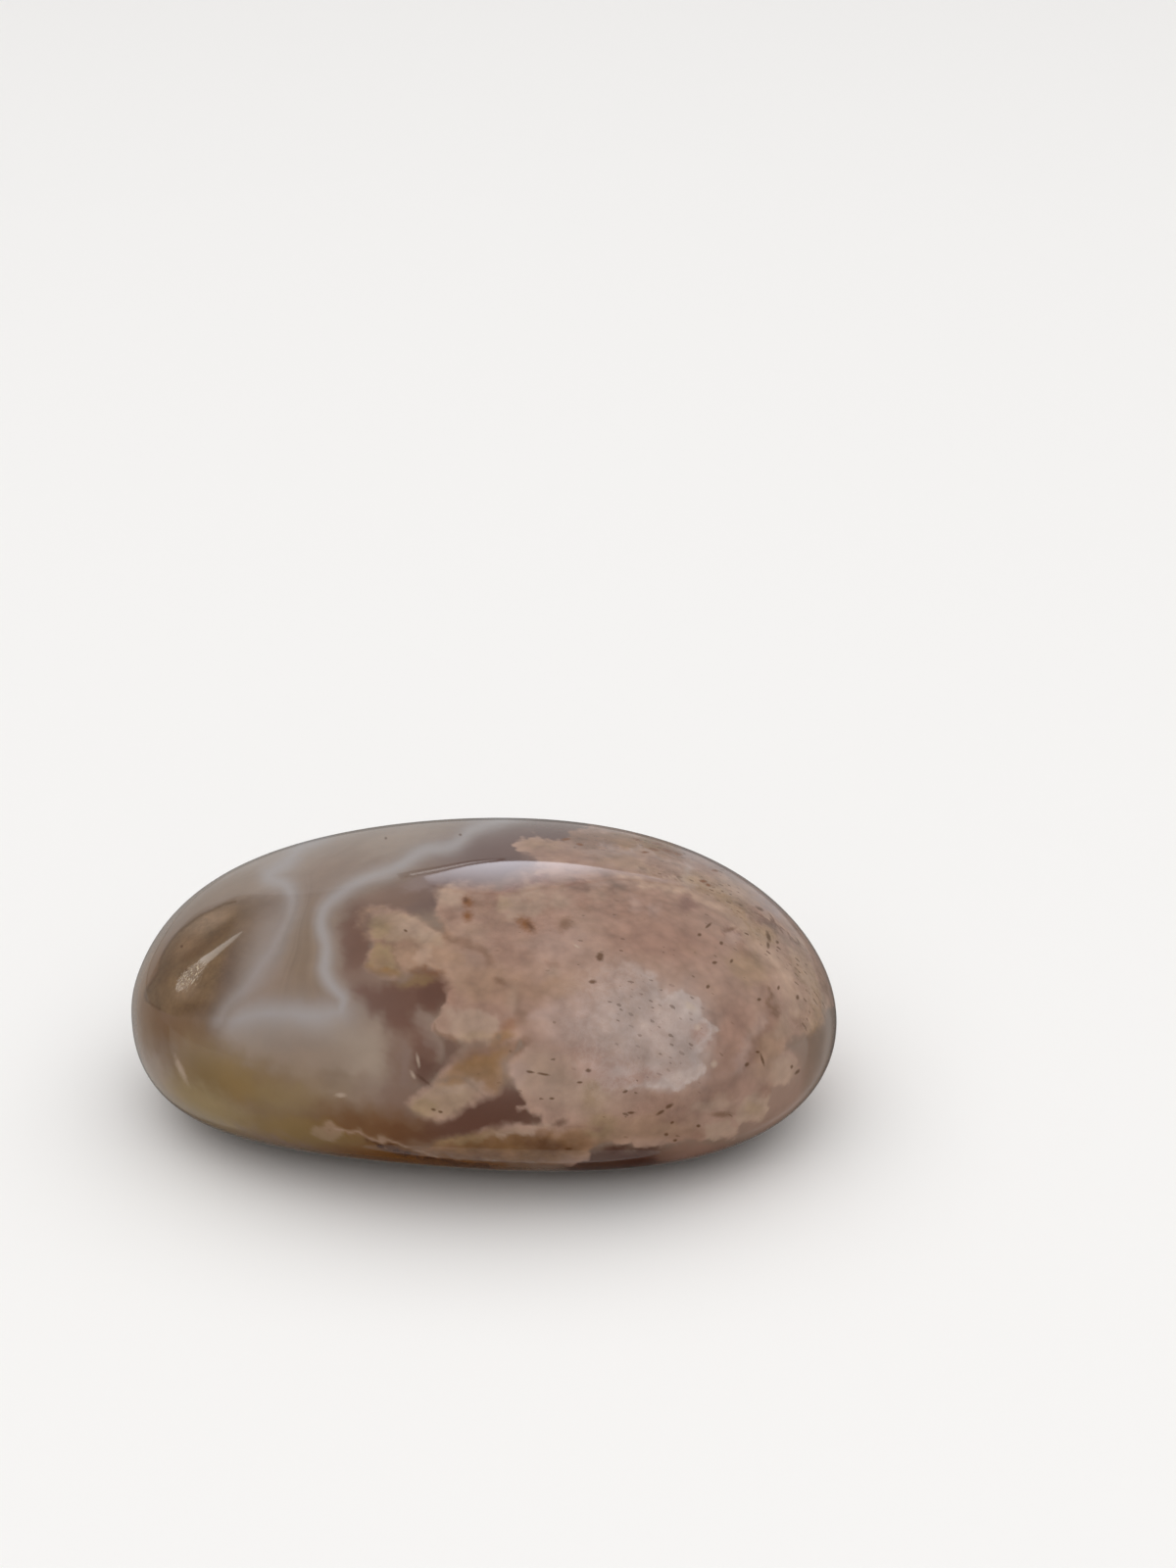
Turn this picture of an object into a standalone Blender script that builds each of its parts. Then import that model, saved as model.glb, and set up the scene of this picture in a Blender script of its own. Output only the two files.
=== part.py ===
"""A polished flower agate palm stone, in metres, +Z up.

The stone is one piece: a flattened oval pebble, fuller at its ends than an ellipsoid, domed on top and
flatter below, with a small flat where it rests. The origin is under the middle of its box, on the plane
that it rests on, and +X runs along its length.
"""

import math

import bpy
import numpy as np

MM = 0.001

# Driving dimensions, in millimetres.
LENGTH = 62.0
WIDTH = 43.0
HALF_HEIGHT = 11.75  # of the middle section, before the resting flat is ground
GROUND_OFF = 0.6  # how much of the middle section's height the resting flat takes away
END_DROP = 2.6  # how far the tips' centre hangs below the middle section's
RUN_OUT = 0.4  # how far above and below the resting plane the flat blends into the round

# How the sections change along the length, with s from -1 at the left tip to 1 at the right tip. Each
# row holds the factors of s, s squared and s cubed, as shares of the middle section's size.
HEIGHT_TREND = (0.09, 0.30, -0.195)  # fuller towards both ends
WIDTH_TREND = (0.02, 0.08, 0.0)
SQUARENESS = 0.06  # how far a section's four corners stand out beyond an ellipse, as a share

# The mesh.
SECTIONS = 42
ROUND_STEPS = 68

STONE_COLOUR = (0.32, 0.24, 0.195, 1.0)
STONE_ROUGHNESS = 0.06


def trend(factors, s):
    """What a row of factors adds at s, as a share of the middle section's size."""
    return 1 + factors[0] * s + factors[1] * s**2 + factors[2] * s**3


def ground_flat(height):
    """Heights with all below the resting plane brought up to it, through a smooth run-out."""
    blend = (height + RUN_OUT) ** 2 / (4 * RUN_OUT)
    return np.where(height < -RUN_OUT, 0.0, np.where(height < RUN_OUT, blend, height))


def skin(along, around):
    """Points of the stone's surface in millimetres.

    along runs from 0 at the left tip to pi at the right one, so that the ends are round. around is the
    angle about the length: 0 at the back, pi / 2 on top, pi in front and -pi / 2 below.
    """
    s = -np.cos(along)
    closing = np.sin(along)
    half_width = WIDTH / 2 * trend(WIDTH_TREND, s) * closing
    half_height = HALF_HEIGHT * trend(HEIGHT_TREND, s) * closing
    corner_reach = 1 + SQUARENESS * (1 - np.cos(4 * around)) / 2
    x = LENGTH / 2 * s + 0 * around
    y = half_width * corner_reach * np.cos(around)
    z = HALF_HEIGHT - GROUND_OFF - END_DROP * s**2 + half_height * corner_reach * np.sin(around)
    return np.stack([x, y, ground_flat(z)], axis=-1)


def stone_points():
    """The left tip, then each section's ring from left to right, then the right tip."""
    along = np.linspace(0, math.pi, SECTIONS + 2)[1:-1, None]
    around = np.linspace(0, 2 * math.pi, ROUND_STEPS, endpoint=False)[None, :]
    rings = skin(along, around).reshape(-1, 3)
    tips = skin(np.array([0.0, math.pi]), np.zeros(2))
    return np.concatenate([tips[:1], rings, tips[1:]])


def stone_faces():
    """Quads between neighbouring rings, and a fan of triangles at each tip, all facing out."""
    last_ring = 1 + (SECTIONS - 1) * ROUND_STEPS
    right_tip = 1 + SECTIONS * ROUND_STEPS
    faces = []
    for step in range(ROUND_STEPS):
        following = (step + 1) % ROUND_STEPS
        faces.append((0, 1 + following, 1 + step))
        for ring in range(1, last_ring, ROUND_STEPS):
            next_ring = ring + ROUND_STEPS
            faces.append((ring + step, ring + following, next_ring + following, next_ring + step))
        faces.append((last_ring + step, last_ring + following, right_tip))
    return faces


def polished_agate():
    material = bpy.data.materials.new("polished_agate")
    material.use_nodes = True
    shader = material.node_tree.nodes["Principled BSDF"]
    shader.inputs["Base Color"].default_value = STONE_COLOUR
    shader.inputs["Roughness"].default_value = STONE_ROUGHNESS
    shader.inputs["Metallic"].default_value = 0.0
    return material


def make_stone():
    mesh = bpy.data.meshes.new("agate_stone")
    mesh.from_pydata((stone_points() * MM).tolist(), [], stone_faces())
    mesh.materials.append(polished_agate())
    mesh.shade_smooth()
    stone = bpy.data.objects.new("agate_stone", mesh)
    bpy.context.scene.collection.objects.link(stone)


for leftover in list(bpy.data.objects):
    bpy.data.objects.remove(leftover)
make_stone()
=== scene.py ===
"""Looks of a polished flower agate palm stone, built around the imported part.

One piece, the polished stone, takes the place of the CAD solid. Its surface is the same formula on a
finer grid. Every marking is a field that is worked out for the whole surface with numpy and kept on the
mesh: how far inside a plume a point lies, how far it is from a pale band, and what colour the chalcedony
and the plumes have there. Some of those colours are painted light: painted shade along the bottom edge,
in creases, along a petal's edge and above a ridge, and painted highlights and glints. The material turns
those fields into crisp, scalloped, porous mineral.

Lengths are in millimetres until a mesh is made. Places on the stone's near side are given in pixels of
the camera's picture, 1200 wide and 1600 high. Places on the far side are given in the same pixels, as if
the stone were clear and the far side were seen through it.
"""

import math

import bpy
import numpy as np
from mathutils import Matrix, Vector


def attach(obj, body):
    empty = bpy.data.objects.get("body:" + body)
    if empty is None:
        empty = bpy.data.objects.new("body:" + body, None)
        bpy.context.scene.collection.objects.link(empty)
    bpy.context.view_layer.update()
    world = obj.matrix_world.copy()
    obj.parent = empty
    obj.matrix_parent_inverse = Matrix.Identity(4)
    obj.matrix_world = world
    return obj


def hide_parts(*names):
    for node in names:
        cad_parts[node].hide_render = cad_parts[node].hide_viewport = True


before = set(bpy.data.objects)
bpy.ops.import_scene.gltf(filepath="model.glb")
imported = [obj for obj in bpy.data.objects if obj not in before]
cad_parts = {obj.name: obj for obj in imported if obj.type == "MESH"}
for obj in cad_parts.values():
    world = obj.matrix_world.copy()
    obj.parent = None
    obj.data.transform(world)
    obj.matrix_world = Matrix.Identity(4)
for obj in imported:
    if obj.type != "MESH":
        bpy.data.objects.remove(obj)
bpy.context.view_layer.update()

MM = 0.001

# The camera: where it stands, in millimetres, and how it is turned, in degrees.
CAMERA_PLACE = np.array([25.16, -235.83, 136.44])
CAMERA_PITCH = 65.926
CAMERA_TURN = 3.868
LENS = 70.0
SENSOR = 36.0  # along the picture's height
PICTURE = (1200, 1600)
PIXELS_PER_MM = 11.6  # at the stone

# The stone's driving dimensions, as in the CAD part.
LENGTH = 62.0
WIDTH = 43.0
HALF_HEIGHT = 11.75
GROUND_OFF = 0.6  # what the resting flat takes off the underside
END_DROP = 2.6  # how much lower the tips lie than the middle
RUN_OUT = 0.4  # the height over which the flat runs out into the round
HEIGHT_TREND = (0.09, 0.30, -0.195)  # how the height and the width change along the length
WIDTH_TREND = (0.02, 0.08, 0.0)
SQUARENESS = 0.06  # how far each ring's corners stand out

# The fine grid: rings along the length and steps around it, drawn together at the middle of the near side.
RINGS = 330
STEPS = 292
RING_PULL = 0.15
STEP_PULL = 0.45
NEAR_MIDDLE = math.radians(145)
SEAM_STEP = 232  # the step at the middle of the underside


# ---- The stone's surface ----


def trend(factors, s):
    """The size at s, as a share of the middle section's: 1 plus a cubic in s with the given factors."""
    return 1 + factors[0] * s + factors[1] * s**2 + factors[2] * s**3


def ground_flat(height):
    """Heights with all below the resting plane brought up to it, through a smooth run-out."""
    blend = (height + RUN_OUT) ** 2 / (4 * RUN_OUT)
    return np.where(height < -RUN_OUT, 0.0, np.where(height < RUN_OUT, blend, height))


def skin(along, around):
    """Points of the surface: an ellipse-like ring for each place along the length.

    s = -cos(along) runs from the left tip to the right one. Half the width and half the height are cubics
    in s times sin(along), which closes the ends, and the ring's four corners stand out by SQUARENESS.
    """
    s = -np.cos(along)
    closing = np.sin(along)
    half_width = WIDTH / 2 * trend(WIDTH_TREND, s) * closing
    half_height = HALF_HEIGHT * trend(HEIGHT_TREND, s) * closing
    corner_reach = 1 + SQUARENESS * (1 - np.cos(4 * around)) / 2
    x = LENGTH / 2 * s + 0 * around
    y = half_width * corner_reach * np.cos(around)
    z = HALF_HEIGHT - GROUND_OFF - END_DROP * s**2 + half_height * corner_reach * np.sin(around)
    return np.stack([x, y, ground_flat(z)], axis=-1)


def stone_grid():
    """The surface's points and outward normals: the left tip, then RINGS rings of STEPS points, then the
    right tip. A normal is the cross product of the two directions in which the grid runs."""
    along = np.linspace(0, math.pi, RINGS + 2)[1:-1, None]
    along = along + RING_PULL * np.sin(2 * along)
    around = np.linspace(0, 2 * math.pi, STEPS, endpoint=False)[None, :]
    around = around - STEP_PULL * np.sin(around - NEAR_MIDDLE)
    nudge = 1e-4  # radians
    rings = skin(along, around)
    lengthwise = skin(along + nudge, around) - skin(along - nudge, around)
    crosswise = skin(along, around + nudge) - skin(along, around - nudge)
    normals = np.cross(crosswise, lengthwise)
    normals /= np.linalg.norm(normals, axis=-1, keepdims=True)
    tips = skin(np.array([0.0, math.pi]), np.zeros(2))
    points = np.concatenate([tips[:1], rings.reshape(-1, 3), tips[1:]])
    normals = np.concatenate([[[-1.0, 0, 0]], normals.reshape(-1, 3), [[1.0, 0, 0]]])
    return points, normals


def sheet_places(points):
    """For each point, its x and the distance around its ring from the underside: the skin laid out flat."""
    rings = points[1:-1].reshape(RINGS, STEPS, 3)
    from_bottom = np.roll(rings, -SEAM_STEP, axis=1)
    paces = np.linalg.norm(np.diff(from_bottom, axis=1), axis=-1)
    around = np.concatenate([np.zeros((RINGS, 1)), np.cumsum(paces, axis=1)], axis=1)
    around = np.roll(around - around[:, -1:] / 2, SEAM_STEP, axis=1)
    flat = np.concatenate([[0.0], around.ravel(), [0.0]])
    return np.stack([points[:, 0], flat, 0 * flat], axis=-1)


def stone_faces():
    """Quads between neighbouring rings, and a fan of triangles at each tip, all facing out."""
    ring, step = np.meshgrid(np.arange(RINGS - 1), np.arange(STEPS), indexing="ij")
    following = (step + 1) % STEPS
    near = 1 + ring * STEPS
    far = near + STEPS
    quads = np.stack([near + step, near + following, far + following, far + step], axis=-1)
    step = np.arange(STEPS)
    following = (step + 1) % STEPS
    last = 1 + (RINGS - 1) * STEPS
    left_fan = np.stack([0 * step, 1 + following, 1 + step], axis=-1)
    right_fan = np.stack([last + step, last + following, 0 * step + last + STEPS], axis=-1)
    return quads.reshape(-1, 4).tolist() + left_fan.tolist() + right_fan.tolist()


# ---- Fields in the picture's pixels ----


def turned(degrees, first, second):
    """The matrix that turns the first axis towards the second."""
    angle = math.radians(degrees)
    matrix = np.eye(3)
    matrix[first, first] = matrix[second, second] = math.cos(angle)
    matrix[second, first], matrix[first, second] = math.sin(angle), -math.sin(angle)
    return matrix


def camera_axes():
    """The camera's right, up and backward directions, as the columns of a matrix."""
    return turned(CAMERA_TURN, 0, 1) @ turned(CAMERA_PITCH, 1, 2)


def in_picture(points):
    """The pixel at which each point is seen: a central projection from the camera's place."""
    seen = (points - CAMERA_PLACE) @ camera_axes()
    focal = LENS / SENSOR * PICTURE[1]
    x = PICTURE[0] / 2 + focal * seen[:, 0] / -seen[:, 2]
    y = PICTURE[1] / 2 - focal * seen[:, 1] / -seen[:, 2]
    return np.stack([x, y], axis=-1)


def smooth_step(low, high, values):
    """0 below low, 1 above high, and a cubic S between them."""
    share = np.clip((values - low) / (high - low), 0, 1)
    return share * share * (3 - 2 * share)


def smooth_curve(points, count, closed=False):
    """count points on a Catmull-Rom curve through the given ones: on each stretch, the cubic whose slope at
    either end is half the step between the neighbouring points."""
    points = np.array(points, float)
    if closed:
        points = np.concatenate([points, points[:1]])
        before, after = points[-2:-1], points[1:2]
    else:
        before, after = 2 * points[:1] - points[1:2], 2 * points[-1:] - points[-2:-1]
    padded = np.concatenate([before, points, after])
    at = np.linspace(0, len(points) - 1, count)
    first = np.minimum(at.astype(int), len(points) - 2)
    t = (at - first)[:, None]
    a, b, c, d = (padded[first + shift] for shift in range(4))
    return b + t / 2 * (c - a + t * (2 * a - 5 * b + 4 * c - d + t * (3 * (b - c) + d - a)))


def to_stretch(where, start, end):
    """Distances in pixels from each place to the straight stretch from start to end."""
    stretch = end - start
    share = np.clip((where - start) @ stretch / (stretch @ stretch), 0, 1)
    return np.linalg.norm(where - start - share[:, None] * stretch, axis=1)


def inside(outline, where):
    """How far inside a rounded closed outline each place lies, in millimetres, and negative outside it.

    The size is the distance to the nearest side. The sign comes from how often a line to the right of
    the place crosses the outline."""
    corners = smooth_curve(outline, 3 * len(outline) + 1, closed=True)[:-1]
    nearest = np.full(len(where), np.inf)
    odd = np.zeros(len(where), bool)
    for start, end in zip(corners, np.roll(corners, -1, axis=0)):
        nearest = np.minimum(nearest, to_stretch(where, start, end))
        spans = (start[1] > where[:, 1]) != (end[1] > where[:, 1])
        rise = end[1] - start[1] or 1e-9
        crossing = start[0] + (where[:, 1] - start[1]) / rise * (end[0] - start[0])
        odd ^= spans & (where[:, 0] < crossing)
    return np.where(odd, nearest, -nearest) / PIXELS_PER_MM


def off_line(line, where):
    """Distances in millimetres from each place to a smooth open line."""
    corners = smooth_curve(line, 3 * len(line))
    nearest = [to_stretch(where, start, end) for start, end in zip(corners, corners[1:])]
    return np.min(nearest, axis=0) / PIXELS_PER_MM


def spot(where, x, y, across, down, turn=0.0, edge=2.0):
    """A soft oval spot: e to the minus q**edge, with q the squared distance in units of its two radii.

    turn is in degrees, clockwise in the picture. A larger edge makes it flatter and sharper."""
    angle = math.radians(turn)
    dx, dy = where[:, 0] - x, where[:, 1] - y
    u = (dx * math.cos(angle) + dy * math.sin(angle)) / across
    v = (dy * math.cos(angle) - dx * math.sin(angle)) / down
    return np.exp(-((u * u + v * v) ** edge))


def patch(where, outline, blur):
    """1 inside an outline and 0 outside it, with a smooth S over blur millimetres on either side of it."""
    return smooth_step(-blur, blur, inside(outline, where))


def seam(where, line, reach):
    """1 on a line, fading to nothing over about twice reach millimetres on either side."""
    return np.exp(-((off_line(line, where) / reach) ** 2))


def waves(points, size, seed, count=20):
    """A smooth wandering field about 0: the sum of plane sine waves, size millimetres long on average, of
    random direction and phase."""
    random = np.random.default_rng(seed)
    directions = random.normal(size=(3, count))
    lengths = size * random.uniform(0.7, 1.4, count)
    turns = 2 * math.pi / (lengths * np.linalg.norm(directions, axis=0))
    phases = random.uniform(0, 2 * math.pi, count)
    return np.sin(points @ (directions * turns) + phases).sum(axis=1) * math.sqrt(2 / count)


def wandering(where, points, reach, size, seed):
    """Places in the picture, each moved about reach millimetres by wandering fields: along each axis of the
    picture one of the given size, and half as much again of one 0.4 times as large."""
    shift = [
        waves(points, size, seed + axis) + 0.5 * waves(points, size * 0.4, seed + 10 + axis)
        for axis in (0, 1)
    ]
    return where + np.stack(shift, axis=-1) * reach * PIXELS_PER_MM


def linear(colour):
    """A screen colour, 0 to 255, as the linear colour that a shader takes."""
    share = np.array(colour, float) / 255
    return np.where(share <= 0.04045, share / 12.92, ((share + 0.055) / 1.055) ** 2.4)


def painted(base, layers, where):
    """A colour for each place: the base colour with each layer's colour laid over it in turn.

    A layer is its colour, its strength, and then the values that spot() takes, or an outline in a list
    with patch()'s blur, or a line in a tuple with seam()'s reach."""
    colours = np.tile(linear(base), (len(where), 1))
    for colour, strength, *shape in layers:
        draw = {list: patch, tuple: seam}.get(type(shape[0]), spot)
        cover = strength * draw(where, *shape)[:, None]
        colours += cover * (linear(colour) - colours)
    return colours


# ---- The minerals' colours ----

GREY_BROWN = (131, 111, 97)
PALE_TAN = (146, 130, 117)
ASH = (134, 119, 109)
WARM_TAN = (127, 106, 87)
SHADOW_BROWN = (95, 74, 59)
PLUM_BROWN = (122, 96, 82)
PLUM_GREY = (101, 78, 72)
DARK_PLUM = (103, 72, 59)
RED_BROWN = (92, 61, 49)
RUST_BROWN = (110, 70, 32)
MAROON = (74, 42, 30)
TAWNY = (124, 97, 66)
OLIVE = (128, 102, 58)
PALE_OLIVE = (152, 132, 94)
MILK = (153, 135, 119)
BAND_WHITE = (158, 152, 151)
ROSE_BEIGE = (159, 130, 115)
ROSE = (154, 120, 108)
DEEP_ROSE = (151, 118, 103)
DUSK = (138, 106, 91)
MAUVE = (128, 98, 88)
SHELL_PINK = (170, 144, 133)
CREAM = (168, 143, 125)
HONEY_TAN = (154, 124, 102)
VEIN_TAN = (158, 131, 102)
PALE_PEACH = (184, 155, 135)
AMBER = (134, 99, 58)
DEEP_AMBER = (122, 76, 38)
CORE_WHITE = (170, 152, 144)
CORE_RIM = (184, 168, 161)
EARTH = (112, 87, 60)
DARK_EARTH = (84, 58, 30)
DUSTY_TAN = (142, 116, 92)
PORE_BROWN = (80, 50, 24)
CHIP_AND_GLINT_WHITE = (188, 168, 150)
GLINT_WHITE = (206, 186, 156)
LILAC_GREY = (150, 132, 128)
VEIN_LILAC = (170, 154, 149)
PIT_BROWN = (62, 28, 6)
RUST_PIT = (112, 60, 10)
PETAL_OLIVE = (148, 125, 94)
PETAL_TAN = (156, 131, 110)
SKIRT_TAN = (118, 85, 54)
BROWN_SHADE = (118, 88, 69)
UMBER = (80, 52, 38)
FAN_GREY = (132, 111, 102)
OCHRE = (98, 62, 24)

# ---- The markings of the near side ----

# Closed outlines and open lines through their points, round the shapes that they are named for.
MAIN_PLUME = [
    (522, 862), (533, 855), (548, 853), (560, 857), (572, 858), (584, 847), (600, 842), (640, 815),
    (900, 880), (900, 1020), (848, 1028), (841, 1041), (828, 1056), (811, 1059), (803, 1066), (811, 1074),
    (817, 1084), (816, 1096), (801, 1108), (787, 1111), (788, 1118), (785, 1136), (773, 1146), (755, 1146),
    (754, 1153), (749, 1161), (729, 1163), (707, 1163), (690, 1168), (667, 1170), (641, 1168), (622, 1168),
    (601, 1172), (598, 1184), (575, 1190), (500, 1186), (440, 1178), (436, 1170), (441, 1165), (461, 1159),
    (484, 1154), (504, 1149), (519, 1146), (541, 1147), (552, 1146), (554, 1140), (550, 1137), (529, 1131),
    (536, 1127), (532, 1116), (521, 1105), (517, 1090), (524, 1076), (534, 1068), (526, 1058), (512, 1056),
    (498, 1063), (476, 1065), (465, 1061), (449, 1058), (440, 1046), (447, 1034), (457, 1023), (455, 1012),
    (460, 1003), (450, 990), (446, 965), (452, 950), (443, 934), (446, 918), (444, 908), (458, 902),
    (480, 902), (505, 906), (516, 904), (524, 897), (536, 892), (544, 885), (542, 876), (530, 869),
]
UPPER_PETALS = [
    (364, 942), (367, 932), (375, 926), (386, 924), (396, 926), (410, 929), (424, 933), (436, 939),
    (446, 946), (452, 952), (462, 960), (466, 975), (460, 988), (450, 992), (436, 990), (422, 992),
    (410, 998), (398, 998), (385, 993), (373, 986), (375, 975), (381, 965), (376, 957), (369, 951),
]
LOWER_PETAL = [
    (417, 1128), (421, 1119), (431, 1112), (437, 1107), (447, 1102), (460, 1099), (475, 1100), (485, 1106),
    (493, 1113), (498, 1119), (488, 1124), (477, 1127), (470, 1133), (462, 1140), (450, 1143), (436, 1141),
    (424, 1136),
]
LEDGE_CHIP = [(316, 1156), (322, 1150), (336, 1148), (352, 1152), (350, 1160), (334, 1163)]
AMBER_VEIL = [
    (475, 1066), (502, 1061), (515, 1052), (528, 1048), (530, 1067), (515, 1086), (516, 1100), (511, 1117),
    (493, 1123), (476, 1104), (461, 1102), (443, 1104), (456, 1084), (469, 1074),
]
END_PLUME = [
    (149, 1020), (157, 1026), (166, 1032), (180, 1038), (200, 1040), (214, 1036), (222, 1030), (230, 1008),
    (238, 985), (244, 960), (250, 942), (252, 930), (240, 920), (228, 923), (215, 929), (203, 935),
    (192, 943), (182, 951), (174, 960), (168, 970), (164, 980), (161, 992), (155, 1002), (149, 1011),
]
# The weathered plume's outer edge, from the bottom up: its outline's first points and its last ones.
END_RIM = [(163, 1030), *END_PLUME[1::-1], *END_PLUME[:11:-1]]
WHITE_CORE = [
    (679, 1016), (696, 1011), (705, 1018), (715, 1020), (719, 1034), (730, 1044), (734, 1051), (722, 1066),
    (717, 1076), (720, 1091), (707, 1105), (688, 1113), (671, 1110), (661, 1113), (641, 1113), (612, 1112),
    (590, 1085), (572, 1050), (585, 1015), (612, 990), (640, 982), (668, 996),
]
RIGHT_BAND = [
    (540, 828), (498, 841), (481, 847), (471, 856), (459, 864), (433, 868), (416, 878), (399, 888),
    (377, 895), (357, 905), (343, 915), (333, 924), (328, 936), (328, 948), (333, 965), (332, 980),
    (331, 990), (336, 1002), (343, 1011), (350, 1019), (348, 1031),
]
CROSS_BAND = [(346, 1033), (320, 1037), (294, 1034), (265, 1035), (236, 1042)]
LEFT_BAND = [
    (330, 850), (308, 863), (292, 880), (274, 894), (290, 902), (297, 913), (297, 927), (292, 941),
    (287, 951), (280, 965), (265, 987), (248, 1009), (231, 1026), (224, 1040),
]
DARK_POCKET = [
    (361, 1008), (400, 1003), (424, 998), (438, 989), (452, 993), (459, 1003), (464, 1009), (455, 1017),
    (449, 1026), (445, 1036), (436, 1031), (428, 1028), (424, 1036), (425, 1052), (411, 1054), (398, 1047),
    (385, 1036), (371, 1024),
]
DARK_TRIANGLE = [
    (449, 1056), (462, 1060), (472, 1065), (467, 1078), (457, 1089), (446, 1099), (436, 1107), (428, 1102),
    (423, 1092), (428, 1080), (440, 1083), (450, 1084), (453, 1072),
]
LIGHT_FAN = [
    (423, 1026), (431, 1030), (440, 1036), (443, 1047), (447, 1058), (452, 1069), (456, 1080), (449, 1080),
    (441, 1072), (433, 1061), (427, 1048), (424, 1036),
]
DARK_WEDGE = [
    (455, 1142), (472, 1130), (490, 1123), (505, 1117), (516, 1108), (532, 1110), (537, 1122), (540, 1132),
    (556, 1138), (555, 1147), (540, 1149), (515, 1149), (500, 1152), (480, 1159), (455, 1163), (425, 1162),
    (420, 1155), (440, 1150),
]
TOP_PETAL = [
    (382, 936), (389, 933), (398, 930), (410, 931), (424, 935), (435, 940), (442, 946), (449, 954),
    (454, 962), (451, 967), (440, 963), (425, 960), (410, 959), (398, 962), (388, 959), (382, 951),
]
LEFT_PETAL = [
    (374, 985), (376, 975), (382, 966), (391, 962), (399, 966), (402, 980), (408, 991), (404, 997),
    (390, 994), (379, 990),
]
WHITE_PETAL = [
    (440, 1041), (445, 1034), (456, 1030), (468, 1029), (480, 1031), (494, 1033), (504, 1037), (509, 1045),
    (504, 1055), (496, 1062), (484, 1065), (473, 1063), (462, 1059), (452, 1058), (445, 1053),
]
UPPER_LOBE = [
    (508, 925), (510, 916), (518, 912), (528, 914), (536, 921), (545, 926), (546, 934), (532, 936),
    (516, 935),
]
TOP_LOBE = [(528, 906), (536, 901), (547, 901), (554, 907), (556, 915), (546, 919), (534, 916)]
CORNER_LOBE = [
    (762, 1119), (775, 1114), (789, 1116), (787, 1129), (783, 1142), (770, 1147), (756, 1146), (750, 1136),
]
BOTTOM_LOBE = [(718, 1149), (730, 1144), (746, 1145), (754, 1152), (750, 1161), (736, 1166), (722, 1162)]
MILK_CLOUD = [
    (226, 1050), (260, 1044), (330, 1040), (385, 1050), (399, 1066), (400, 1092), (396, 1118), (370, 1132),
    (330, 1126), (300, 1112), (262, 1088), (236, 1066),
]

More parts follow.
